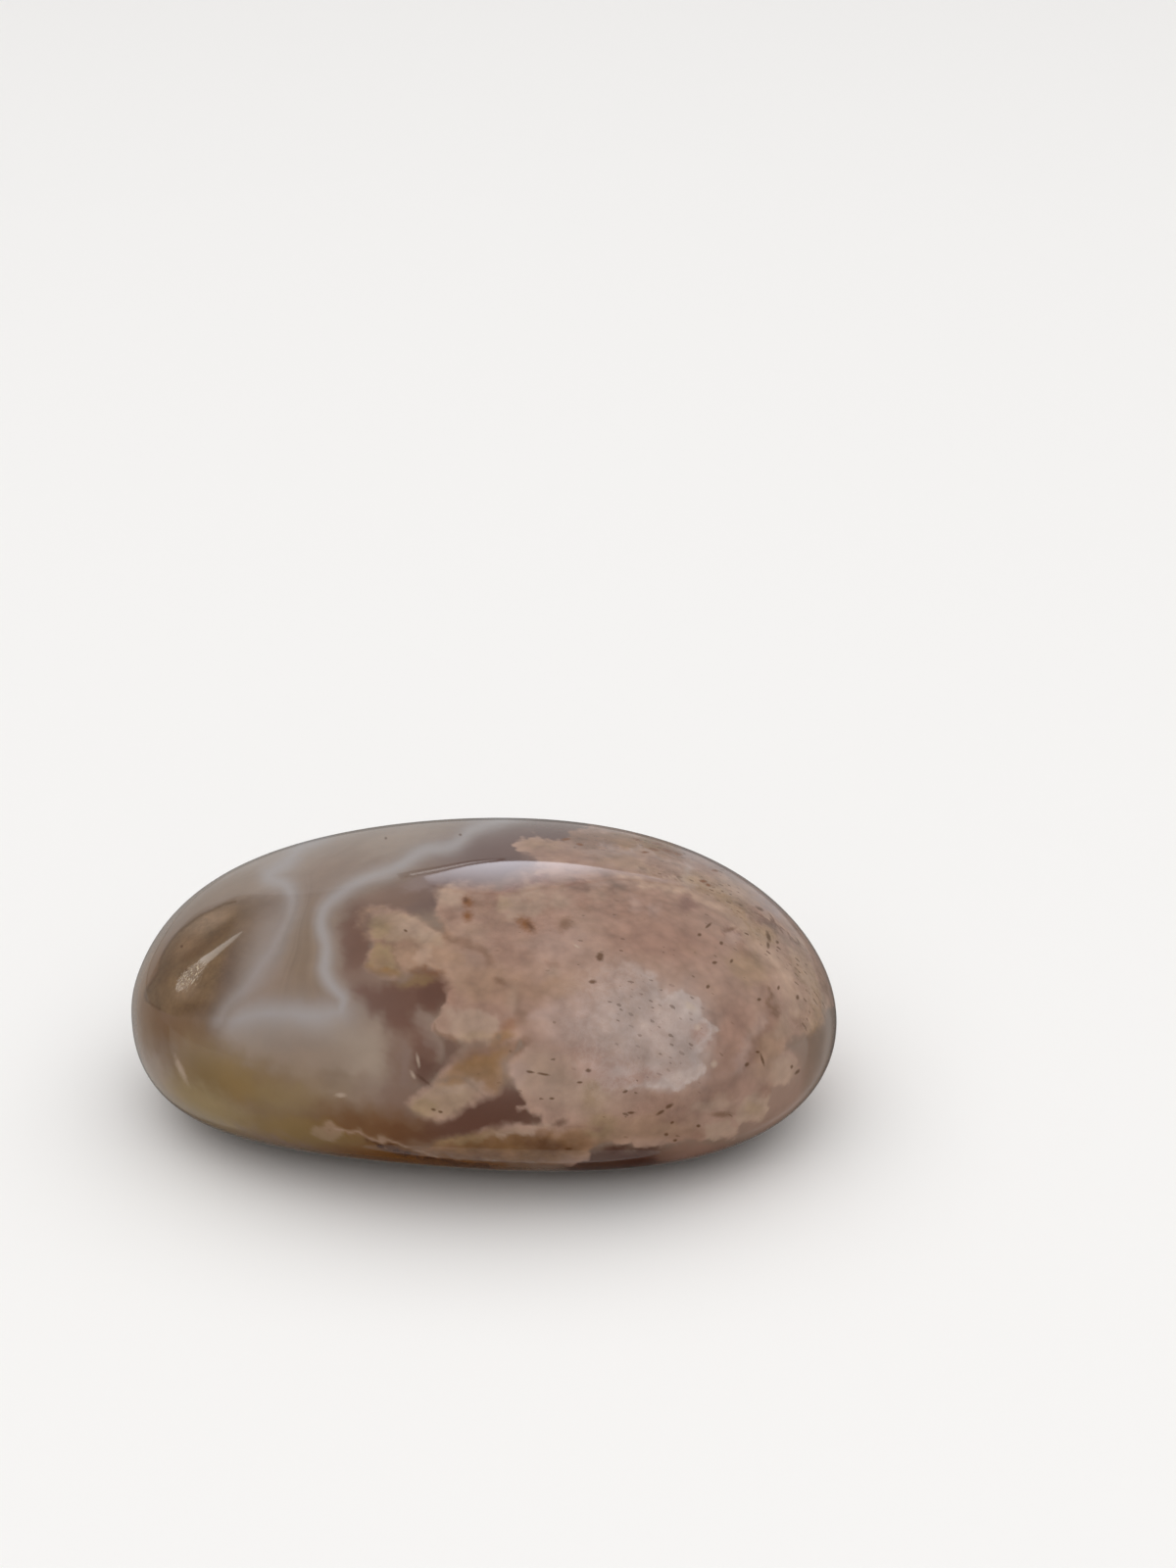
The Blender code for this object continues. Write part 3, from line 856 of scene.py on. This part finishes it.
def marking_fields(points, normals):
    """Each marking's field for the whole surface, by its attribute's name, as a pair for the near side and
    the far side that is then blended. Most are taken at places that have wandered a little, which makes
    their outlines ragged."""
    where = in_picture(points)
    near_share = smooth_step(*RIM_BLEND, facing_camera(points, normals))
    ragged = wandering(where, points, 0.09, 1.4, seed=3)  # for the near side's outlines
    stirred = wandering(where, points, 0.12, 1.6, seed=5)  # for its colours
    blotted = wandering(where, points, 0.26, 3.0, seed=7)  # for the far side
    drifting = wandering(where, points, 0.4, 11.0, seed=11)  # for the far side's band
    none = np.zeros(len(where))
    near_plumes = [inside(outline, ragged) for outline in (MAIN_PLUME, UPPER_PETALS, LOWER_PETAL)]
    near_plumes.append(inside(AMBER_VEIL, where) - 0.1)
    far_plumes = [inside(outline, blotted) for outline in (FAR_PLUME, FAR_LITTLE_PLUME)]
    to_right_band, to_left_band = off_line(RIGHT_BAND, where), off_line(LEFT_BAND, where)
    near_band = near_band_distance(where, to_right_band, to_left_band)
    far_band = off_line(FAR_BAND, drifting)
    fade_x, fade_y, slant, fade_width = END_FADE
    past_fade = where[:, 0] - fade_x + slant * (where[:, 1] - fade_y)
    fields = {
        "plume": (np.max(near_plumes, axis=0), np.max(far_plumes, axis=0)),
        "end_plume": (inside(END_PLUME, where), none - NEVER),
        "end_rim": (off_line(END_RIM, where), none + NEVER),
        "end_fade": (smooth_step(0, fade_width, past_fade), none),
        "dust_and_glints": (summed(DUST_AND_GLINTS, where), none),
        "core": (inside(WHITE_CORE, ragged), inside(FAR_CORE, blotted)),
        "core_softness": (spot(where, 575, 1045, 84, 110), none + 0.3),
        "band": (near_band, far_band),
        "across_bands": (to_right_band / (to_right_band + to_left_band + 0.3), far_band / 8),
        "banded": (summed(BANDED, where), none + 0.3),
        "softness": (summed(SOFT_EDGES, where), none + 0.2),
        "pores": (summed(POROUS, where), 0.16 * spot(where, 690, 960, 120, 90)),
        "dapples": (summed(DAPPLED, where), none + 0.3),
        "veins": (summed(VEINED, where), none + 0.4),
        "end_colour": (painted(EARTH, END_COLOURS, where), painted(EARTH, [], where)),
    }
    for name, base, near_layers, far_layers in (
        ("ground_colour", GREY_BROWN, NEAR_GROUND, FAR_GROUND),
        ("petal_colour", ROSE_BEIGE, NEAR_PETALS, FAR_PETALS),
    ):
        fields[name] = painted(base, near_layers, stirred), painted(base, far_layers, blotted)
    blended = {name: either_side(near, far, near_share) for name, (near, far) in fields.items()}
    return {**blended, "sheet": sheet_places(points)}


def mark_frames(points, normals):
    """Where each small mark lies in space, by its place in SMALL_MARKS: its centre on the surface, the turns
    that carry X along it and Z towards the camera, and its three radii in millimetres."""
    where = in_picture(points)
    out_of_sight = np.where(facing_camera(points, normals) > 0, 0, np.inf)
    right, up, back = (Vector(axis) for axis in camera_axes().T)
    groups = []
    for *_, marks in SMALL_MARKS:
        frames = []
        for x, y, half_length, half_width, turn in marks:
            nearest = (((where - (x, y)) ** 2).sum(axis=1) + out_of_sight).argmin()
            angle = math.radians(turn)
            lengthwise = math.cos(angle) * right - math.sin(angle) * up
            across = back.cross(lengthwise)
            turns = Matrix((lengthwise, across, back)).transposed().to_euler()
            radii = (half_length / PIXELS_PER_MM, half_width / PIXELS_PER_MM, MARK_DEPTH)
            frames.append((tuple(points[nearest]), tuple(turns), radii))
        groups.append(frames)
    return groups


# ---- Materials ----

# The grain of the minerals: the size of its features in millimetres.
DRIFT_SIZE = 3.5
LOBE_SIZE = 2.0
SCALLOP_SIZE = 0.75
GRIT_SIZE = 0.4
SPARKLE_SIZE = 0.24
PORE_SPACING = 0.5

# The finish: roughness of the polish, and how high the dust and how deep the pores are, in millimetres.
POLISH = 0.04
DUST_HEIGHT = 0.05
PORE_DEPTH = 0.03


class Socket:
    """A number, colour or vector on its way through a material. Arithmetic on it adds Math nodes."""

    def __init__(self, tree, socket):
        self.tree = tree
        self.socket = socket

    def other(self, name):
        """Another output of the node that this one comes from."""
        return Socket(self.tree, self.socket.node.outputs[name])

    def math(self, operation, *values, clamp=False):
        settings = {"operation": operation, "use_clamp": clamp}
        return self.tree.add("Math", settings, dict(enumerate(values)))

    def __add__(self, value):
        return self.math("ADD", self, value)

    def __sub__(self, value):
        return self.math("SUBTRACT", self, value)

    def __rsub__(self, value):
        return self.math("SUBTRACT", value, self)

    def __mul__(self, value):
        return self.math("MULTIPLY", self, value)

    def __truediv__(self, value):
        return self.math("DIVIDE", self, value)

    __radd__ = __add__
    __rmul__ = __mul__

    def at_least(self, value):
        return self.math("MAXIMUM", self, value)

    def exp(self):
        return self.math("EXPONENT", self)

    def size(self):
        return self.math("ABSOLUTE", self)

    def held(self):
        """The value kept between 0 and 1."""
        return self.math("ADD", self, 0.0, clamp=True)

    def smooth(self):
        """0 below 0, 1 above 1, and the S of 3 t squared minus 2 t cubed between them."""
        kept = self.held()
        return kept * kept * (3 - 2 * kept)

    def cover(self, width):
        """0 below minus width, 1 above width, and the same S between them."""
        return (self / width * 0.5 + 0.5).smooth()

    def bell(self, steepness):
        """1 where the value is 0, falling off on both sides: e to the minus steepness times its square."""
        return (self * self * -steepness).exp()

    def step(self, low, high):
        """0 below low, 1 above high, and a smooth S between them."""
        settings = {"interpolation_type": "SMOOTHSTEP"}
        inputs = {"Value": self, "From Min": low, "From Max": high}
        return self.tree.add("MapRange", settings, inputs)


class Shader:
    """A material with its node tree."""

    def __init__(self, name):
        self.material = bpy.data.materials.new(name)
        self.material.use_nodes = True
        self.nodes = self.material.node_tree.nodes
        self.links = self.material.node_tree.links
        self.surface = self.nodes["Principled BSDF"]

    def plug(self, target, value):
        if isinstance(value, Socket):
            self.links.new(value.socket, target)
        else:
            target.default_value = value

    def add(self, kind, settings=None, inputs=None, output=0):
        """Any shader node: its type, then its settings, then its sockets' values or links."""
        node = self.nodes.new("ShaderNode" + kind)
        for name, value in (settings or {}).items():
            setattr(node, name, value)
        for name, value in (inputs or {}).items():
            self.plug(node.inputs[name], value)
        return Socket(self, node.outputs[output])

    def attribute(self, name, output="Fac"):
        return self.add("Attribute", {"attribute_name": name}, output=output)

    def finish(self, values):
        """Sets or links the surface's own sockets, by their names."""
        for name, value in values.items():
            self.plug(self.surface.inputs[name], value)

    def mix(self, share, first, second):
        """Two colours mixed by share."""
        return self.add("Mix", {"data_type": "RGBA"}, {0: share, 6: first, 7: second}, output=2)

    def vector(self, operation, first, second):
        return self.add("VectorMath", {"operation": operation}, {0: first, 1: second})

    def scaled(self, vector, factor):
        return self.add("VectorMath", {"operation": "SCALE"}, {0: vector, "Scale": factor})

    def noise(self, place, size, detail, roughness=0.5):
        """Fractal noise around 0, with features about size millimetres across."""
        inputs = {"Vector": place, "Scale": 1 / size, "Detail": detail, "Roughness": roughness}
        return self.add("TexNoise", {"noise_dimensions": "3D"}, inputs) - 0.5

    def drifted(self, place, size):
        """Places moved up to half a millimetre along each axis, the same way over about size millimetres."""
        noise = self.add("TexNoise", {}, {"Vector": place, "Scale": 1 / size, "Detail": 1.5}, "Color")
        return self.vector("ADD", place, self.vector("SUBTRACT", noise, (0.5, 0.5, 0.5)))

    def cells(self, place, size, smoothness):
        """Distance to the nearest of many scattered points, about size millimetres apart, with its creases
        smoothed."""
        settings = {"feature": "SMOOTH_F1", "voronoi_dimensions": "3D"}
        inputs = {"Vector": place, "Scale": 1 / size, "Smoothness": smoothness}
        return self.add("TexVoronoi", settings, inputs, "Distance")


def solid(colour):
    """A screen colour as a shader's linear colour with alpha."""
    return (*linear(colour), 1.0)


def polished_agate(marks):
    """Chalcedony with plumes, bands and pores, under a high polish. marks are the frames of SMALL_MARKS."""
    shader = Shader("polished_agate_fine")
    place = shader.scaled(shader.add("TexCoord", output="Object"), 1 / MM)
    warped = shader.drifted(place, DRIFT_SIZE)
    grit = shader.noise(place, GRIT_SIZE, 4, 0.6)
    # Lobes and scallops stand out around scattered points, whose usual distance is 0.45 of their size.
    lobes = 0.45 - shader.cells(warped, LOBE_SIZE, 0.15)
    scallops = 0.45 - shader.cells(warped, SCALLOP_SIZE, 0.1)

    # The plumes begin where their field passes 0, pushed in and out by the grain, and are a little lighter
    # just inside that edge.
    plume_edge = shader.attribute("plume") + lobes * 0.32 + scallops * 0.2 + grit * 0.1
    plume_cover = plume_edge.cover(0.2 + shader.attribute("softness") * 0.9)
    petals = plume_mineral(shader, place, warped, lobes, scallops, grit)
    petals = shader.scaled(petals, 1 + (plume_edge - 0.35).bell(9.0) * 0.1)
    colour = shader.mix(plume_cover, chalcedony(shader, place), petals)
    colour = end_mineral(shader, colour, warped, lobes, grit)

    open_pore = pores(shader, shader.attribute("sheet", "Vector"), grit)
    pore_shade = open_pore * plume_cover * (0.6 + shader.attribute("veins") * 0.35)
    colour = shader.mix(pore_shade, colour, solid(PORE_BROWN))

    for (tint, strength, blur, _), frames in zip(SMALL_MARKS, marks):
        closest = small_mark(shader, place, frames[0])
        for frame_of_mark in frames[1:]:
            closest = closest.at_least(small_mark(shader, place, frame_of_mark))
        cover = (closest * MARK_REACH - 0.5 - grit).step(-0.3, blur)
        colour = shader.mix(cover * strength, colour, solid(tint))

    # The dust patch is rougher and bumpier, and the white flecks in its colour are painted glints.
    dust_and_glints = shader.attribute("dust_and_glints")
    sparkle = shader.noise(place, SPARKLE_SIZE, 2, 0.6)
    colour = shader.mix((sparkle * 5.5 - 0.1).held() * dust_and_glints * 0.8, colour, solid(GLINT_WHITE))
    relief = sparkle * DUST_HEIGHT * dust_and_glints - open_pore * PORE_DEPTH
    shader.finish({
        "Base Color": colour,
        "Roughness": POLISH + open_pore * 0.25 + dust_and_glints * 0.08,
        "Normal": shader.add("Bump", {}, {"Height": relief * MM, "Strength": 0.6, "Distance": 1.0}),
        "IOR": 1.54,
        "Subsurface Weight": 0.12,
        "Subsurface Radius": (1.0, 0.7, 0.5),
        "Subsurface Scale": 0.8 * MM,
    })
    return shader.material


def chalcedony(shader, place):
    """The clear grey-brown ground, clouded, with its pale bands and the fine streaks between them. A band is
    a narrow core in a wider haze."""
    blur = shader.noise(place, 3.0, 3)
    band = (shader.attribute("band") + blur * 0.5).at_least(0.0)
    band_glow = band.bell(2.4) * 0.6 + (band * -0.9).exp() * 0.3
    lane = shader.attribute("across_bands") + shader.noise(place, 7.0, 2) * 0.2
    streaks = shader.add("TexNoise", {"noise_dimensions": "1D"}, {"W": lane, "Scale": 7.0, "Detail": 2.0})
    cloud = shader.noise(place, 4.5, 4, 0.55)
    light = 1 + (streaks - 0.5) * shader.attribute("banded") * 0.5 + cloud * 0.35 + blur * 0.15
    ground = shader.scaled(shader.attribute("ground_colour", "Color"), light)
    return shader.mix(band_glow * 0.9, ground, solid(BAND_WHITE))


def plume_mineral(shader, place, warped, lobes, scallops, grit):
    """The plumes' own colour: rosy, lobed like a cauliflower, with fine pale veins and a white heart."""
    tint = shader.noise(place, 1.9, 3)
    petals = shader.attribute("petal_colour", "Color")
    petals = shader.mix((tint * 2.4).held() * 0.4, petals, solid(DEEP_ROSE))
    petals = shader.mix((tint * -2.4).held() * 0.4, petals, solid(HONEY_TAN))

    softness = shader.attribute("core_softness")
    core_edge = shader.attribute("core") + lobes * 0.7 + scallops * 0.4 + grit * 0.1
    core_cover = core_edge.cover(0.12 + softness * 2.6)
    core_rim = (core_edge - 0.4).bell(6.0) * (1 - softness)
    threads = (1 - shader.noise(warped, 1.1, 5, 0.7).size() * 14).held()
    petals = shader.mix(threads * shader.attribute("veins") * 0.3, petals, solid(PALE_PEACH))
    petals = shader.mix(core_cover * 0.25, petals, solid(CORE_WHITE))
    petals = shader.mix(core_cover * (core_rim * 0.5 + threads * 0.25), petals, solid(CORE_RIM))

    broad = shader.noise(warped, 2.6, 3, 0.45)
    fine = shader.noise(warped, 1.0, 3)
    dapple = shader.cells(warped, 0.95, 0.3) - 0.4
    light = 1 + broad * 0.5 + fine * 0.2 + lobes * 0.3 + scallops * 0.14 + grit * 0.05
    return shader.scaled(petals, light - dapple * shader.attribute("dapples") * 0.35)


def end_mineral(shader, colour, warped, lobes, grit):
    """The earthy plume at the left end, dark along its outer edge and lost in the ground on its right."""
    edge = shader.attribute("end_plume") + lobes * 0.12 + grit * 0.15
    cover = edge.cover(0.12 + shader.attribute("end_fade") * 2.2)
    tone = shader.noise(warped, 1.8, 5, 0.62)
    earth = shader.scaled(shader.attribute("end_colour", "Color"), 1 + tone * 1.1 + grit * 0.5)
    colour = shader.mix(cover * 0.9, colour, earth)
    rim = shader.attribute("end_rim") + grit * 0.16
    return shader.mix(rim.bell(50.0) * 0.65, colour, solid(DARK_EARTH))


def pores(shader, sheet, grit):
    """Small ragged holes: scattered cells, a little drawn out lengthwise, of which only some are open. Each
    cell draws lots for whether it is open, how wide it is and how dark."""
    drawn_out = shader.add("Mapping", {"vector_type": "TEXTURE"}, {"Vector": sheet, "Scale": (1.7, 1, 1)})
    settings = {"feature": "F1", "voronoi_dimensions": "2D"}
    hole = shader.add("TexVoronoi", settings, {"Vector": drawn_out, "Scale": 1 / PORE_SPACING}, "Distance")
    lot = shader.add("SeparateColor", {}, {"Color": hole.other("Color")})
    is_open = (shader.attribute("pores") - lot).step(0.0, 0.02)
    width = 0.08 + lot.other("Green") * 0.2 + grit * 0.6
    return is_open * (width - hole).step(-0.05, 0.08) * (0.2 + lot.other("Blue") * 0.7)


def small_mark(shader, place, frame_of_mark):
    """How close to a mark's centre a place is: 1 there, and 0 from MARK_REACH times its radii on."""
    closeness = shader.add("TexGradient", {"gradient_type": "SPHERICAL"}, {"Vector": place}, "Fac")
    own_space = closeness.socket.node.texture_mapping
    own_space.vector_type = "TEXTURE"
    own_space.translation, own_space.rotation, radii = frame_of_mark
    own_space.scale = [MARK_REACH * radius for radius in radii]
    return closeness


def placed(name, data):
    """A new object in the scene."""
    thing = bpy.data.objects.new(name, data)
    bpy.context.scene.collection.objects.link(thing)
    return thing


def keep_on_mesh(mesh, name, values):
    """Keeps one number or one colour for each vertex as the mesh's attribute."""
    if values.ndim == 1:
        kind, slot, values = "FLOAT", "value", values
    else:
        kind, slot, values = "FLOAT_COLOR", "color", np.hstack([values, np.ones((len(values), 1))])
    layer = mesh.attributes.new(name, kind, "POINT")
    layer.data.foreach_set(slot, values.astype(np.float32).ravel())


def make_stone():
    """The skin with its marking fields and the agate's material, in place of the CAD solid."""
    points, normals = stone_grid()
    mesh = bpy.data.meshes.new("polished_stone")
    mesh.from_pydata((points * MM).tolist(), [], stone_faces())
    for name, values in marking_fields(points, normals).items():
        keep_on_mesh(mesh, name, values)
    mesh.materials.append(polished_agate(mark_frames(points, normals)))
    mesh.shade_smooth()
    stone = placed("polished_stone", mesh)
    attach(stone, "root")
    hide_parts("agate_stone")


# ---- The studio ----

FLOOR_COLOUR = (244, 243, 242)
FLOOR_REACH = 3.0  # metres
AIR_COLOUR = (1.0, 0.985, 0.965, 1)
AIR_LIGHT = 0.3


def make_floor():
    """A wide pale tabletop."""
    mesh = bpy.data.meshes.new("studio_floor")
    corners = [(FLOOR_REACH * x, FLOOR_REACH * y, 0) for x, y in ((-1, -1), (1, -1), (1, 1), (-1, 1))]
    mesh.from_pydata(corners, [], [(0, 1, 2, 3)])
    shader = Shader("pale_floor")
    shader.finish({"Base Color": solid(FLOOR_COLOUR), "Roughness": 0.9, "Specular IOR Level": 0.1})
    mesh.materials.append(shader.material)
    floor = placed("studio_floor", mesh)
    floor.visible_glossy = False


def make_softbox(name, place, size, power):
    """A rectangular light that faces the stone and doesn't mirror in it. Places and sizes are in metres."""
    light = bpy.data.lights.new(name, "AREA")
    light.shape = "RECTANGLE"
    light.size, light.size_y = size
    light.energy = power
    lamp = placed(name, light)
    lamp.location = place
    x, y, z = place
    dip = math.atan2(z, math.hypot(x, y))
    lamp.rotation_euler = (math.pi / 2 - dip, 0, math.atan2(-y, -x) - math.pi / 2)
    lamp.visible_glossy = False
    lamp.visible_camera = False


# The cards are what the polish mirrors: a surround that brightens upwards, the table's sheen, a dim far
# wall, a bright window with a dark frame and a thin line of light beside it, and a lamp's slanting streak.
# They stand on cylinders about the middle of the stone's top. A card's edge is rows of an azimuth, the lowest
# and the highest elevation there, all in degrees, and the glow at the bottom.
STONE_TOP = 22.0
CARD_DISTANCE = 0.7  # metres
CARD_COLUMNS = 72
CARD_ROWS = 24
SURROUND_TOP = -9
SURROUND = [(azimuth, -75, SURROUND_TOP, 0.02) for azimuth in range(0, 361, 10)]
TABLE_CARD = [
    (azimuth, foot, SURROUND_TOP, glow) for azimuth, foot, glow in (
        (-84, -62, 0.008), (-74, -62, 0.022), (-64, -62, 0.036), (-54, -60, 0.042), (-42, -52, 0.05),
        (-30, -40, 0.042), (-15, -29, 0.024), (0, -27, 0.02), (15, -29, 0.016), (28, -40, 0.018),
        (36, -52, 0.036), (42, -60, 0.036), (48, -62, 0.024), (56, -62, 0.01), (66, -62, 0.001),
    )
]
FAR_CARD = [
    (azimuth, -8, top, glow) for azimuth, top, glow in (
        (-60, -7.9, 0.4), (-53, -7.5, 0.45), (-48, -2.4, 0.5), (-41, 0.5, 0.5), (-35.3, 2.6, 0.5),
        (-31.7, 5.5, 0.5), (-29.5, 11.1, 0.5), (-26.9, 16.2, 0.5), (-25, 21.9, 0.5), (-23, 25.3, 0.5),
        (-20, 27.3, 0.5), (-16, 26.9, 0.5), (-13.2, 26, 0.5), (-8.6, 24.4, 0.5), (-5, 23.6, 0.5),
        (1, 23, 0.5), (5.5, 23, 0.5), (11, 21.5, 0.5), (14, 20.4, 0.5), (20.3, 11.3, 0.5),
        (22.3, 5.6, 0.45), (24, 0.7, 0.4), (30, -5, 0.3),
    )
]
WINDOW_CARD = [
    (-12.4, 27.4, 31.0, 1.4), (-10.7, 26.3, 34.0, 2.3), (-8.6, 25.0, 35.2, 3.1), (-6, 24.2, 35.8, 3.5),
    (-2.7, 24.2, 33.6, 3.1), (1, 24.3, 31.6, 2.6), (5.5, 24.1, 28, 1.25), (11, 22.2, 24.8, 0.9),
    (15, 20, 21.5, 0.3),
]
FRAME_CARD = [(-14, 25.4, 27.3, 0), (-10.7, 24.4, 26.2, 0), (-8.6, 23.4, 24.9, 0), (-6, 23.1, 23.9, 0)]
FRAME_LINE = [
    (-13.2, 26.1, 26.6, 1.2), (-10.7, 25.1, 25.6, 1.6), (-8.6, 24, 24.4, 1.6), (-6.6, 23.4, 23.6, 1),
]
STREAK_CARD = [
    (-37.9, 32.0, 32.3, 1.6), (-41, 31.7, 33.2, 2.2), (-45, 31.5, 33.8, 2.6), (-51, 29.9, 33.5, 3.0),
    (-55, 27.3, 32.7, 3.4), (-59, 25.8, 31.2, 3.8), (-62, 24.0, 29.0, 4.2), (-66, 20.3, 26.4, 4.4),
    (-70, 14.8, 22.6, 4.0), (-74, 13, 17, 3),
]

# Each card's name, edge and tint, how many times its glow grows to the top, that growth's bend, and its
# distance.
CARDS = [
    ("surround", SURROUND, (1.0, 0.98, 0.95), 24.0, 3, CARD_DISTANCE),
    ("table_card", TABLE_CARD, (1.0, 0.985, 0.96), 12.0, 0.4, CARD_DISTANCE - 0.01),
    ("far_card", FAR_CARD, (1.0, 0.98, 0.96), 1.0, 1, CARD_DISTANCE),
    ("window_card", WINDOW_CARD, (0.95, 0.96, 1.06), 0.0, 1, CARD_DISTANCE),
    ("frame_card", FRAME_CARD, (1.0, 1.0, 1.0), 1.0, 1, CARD_DISTANCE - 0.01),
    ("frame_line", FRAME_LINE, (1.0, 0.98, 0.98), 1.0, 1, CARD_DISTANCE - 0.02),
    ("streak_card", STREAK_CARD, (1.0, 0.97, 0.92), 0.6, 1, CARD_DISTANCE),
]


def make_card(name, edge, tint, growth, bend, distance):
    """A glowing card on a cylinder about the stone, seen only in reflections. Azimuths run clockwise from
    +Y.

    The glow goes from its value at the bottom to growth times as much at the top: along the height h, from 0
    to 1, as h to the power of bend."""
    azimuth, low, high, glow = (values[:, None] for values in smooth_curve(edge, CARD_COLUMNS).T)
    share = np.linspace(0, 1, CARD_ROWS)[None, :]
    elevation = np.radians(low + (high - low) * share)
    turn = np.radians(azimuth) + 0 * share
    points = np.stack([np.sin(turn), np.cos(turn), np.tan(elevation)], axis=-1) * distance
    points[..., 2] += STONE_TOP * MM
    column, row = np.meshgrid(np.arange(CARD_COLUMNS - 1), np.arange(CARD_ROWS - 1), indexing="ij")
    corner = column * CARD_ROWS + row
    faces = np.stack([corner, corner + CARD_ROWS, corner + CARD_ROWS + 1, corner + 1], axis=-1)
    mesh = bpy.data.meshes.new(name)
    mesh.from_pydata(points.reshape(-1, 3).tolist(), [], faces.reshape(-1, 4).tolist())
    strengths = (glow * (1 + (growth - 1) * share**bend)).clip(0)
    keep_on_mesh(mesh, "glow", strengths.reshape(-1, 1) * np.array(tint))
    shader = Shader(name)
    shader.finish({
        "Base Color": (0, 0, 0, 1),
        "Specular IOR Level": 0.0,
        "Emission Strength": 1.0,
        "Emission Color": shader.attribute("glow", "Color"),
    })
    mesh.materials.append(shader.material)
    card = placed(name, mesh)
    card.visible_camera = False
    card.visible_diffuse = False
    card.visible_shadow = False


def make_studio():
    """The floor, the air's even light, a softbox overhead, a weaker one in front, and the glowing cards."""
    make_floor()
    world = bpy.data.worlds.new("studio_air")
    world.use_nodes = True
    air = world.node_tree.nodes["Background"].inputs
    air["Color"].default_value = AIR_COLOUR
    air["Strength"].default_value = AIR_LIGHT
    bpy.context.scene.world = world
    make_softbox("overhead_softbox", (0, -0.1, 1.2), (3.0, 3.0), 30)
    make_softbox("front_fill", (0, -1.6, 0.7), (2.4, 1.2), 3.5)
    for card in CARDS:
        make_card(*card)


def make_camera():
    """A long lens, level and upright, that looks down on the stone from in front."""
    camera = bpy.data.cameras.new("picture_camera")
    camera.lens = LENS
    camera.sensor_fit = "VERTICAL"
    camera.sensor_height = SENSOR
    camera.clip_start = 0.01
    stand = placed("picture_camera", camera)
    stand.location = CAMERA_PLACE * MM
    stand.rotation_euler = (math.radians(CAMERA_PITCH), 0, math.radians(CAMERA_TURN))
    bpy.context.scene.camera = stand
    bpy.context.scene.view_settings.view_transform = "Standard"


make_stone()
make_studio()
make_camera()
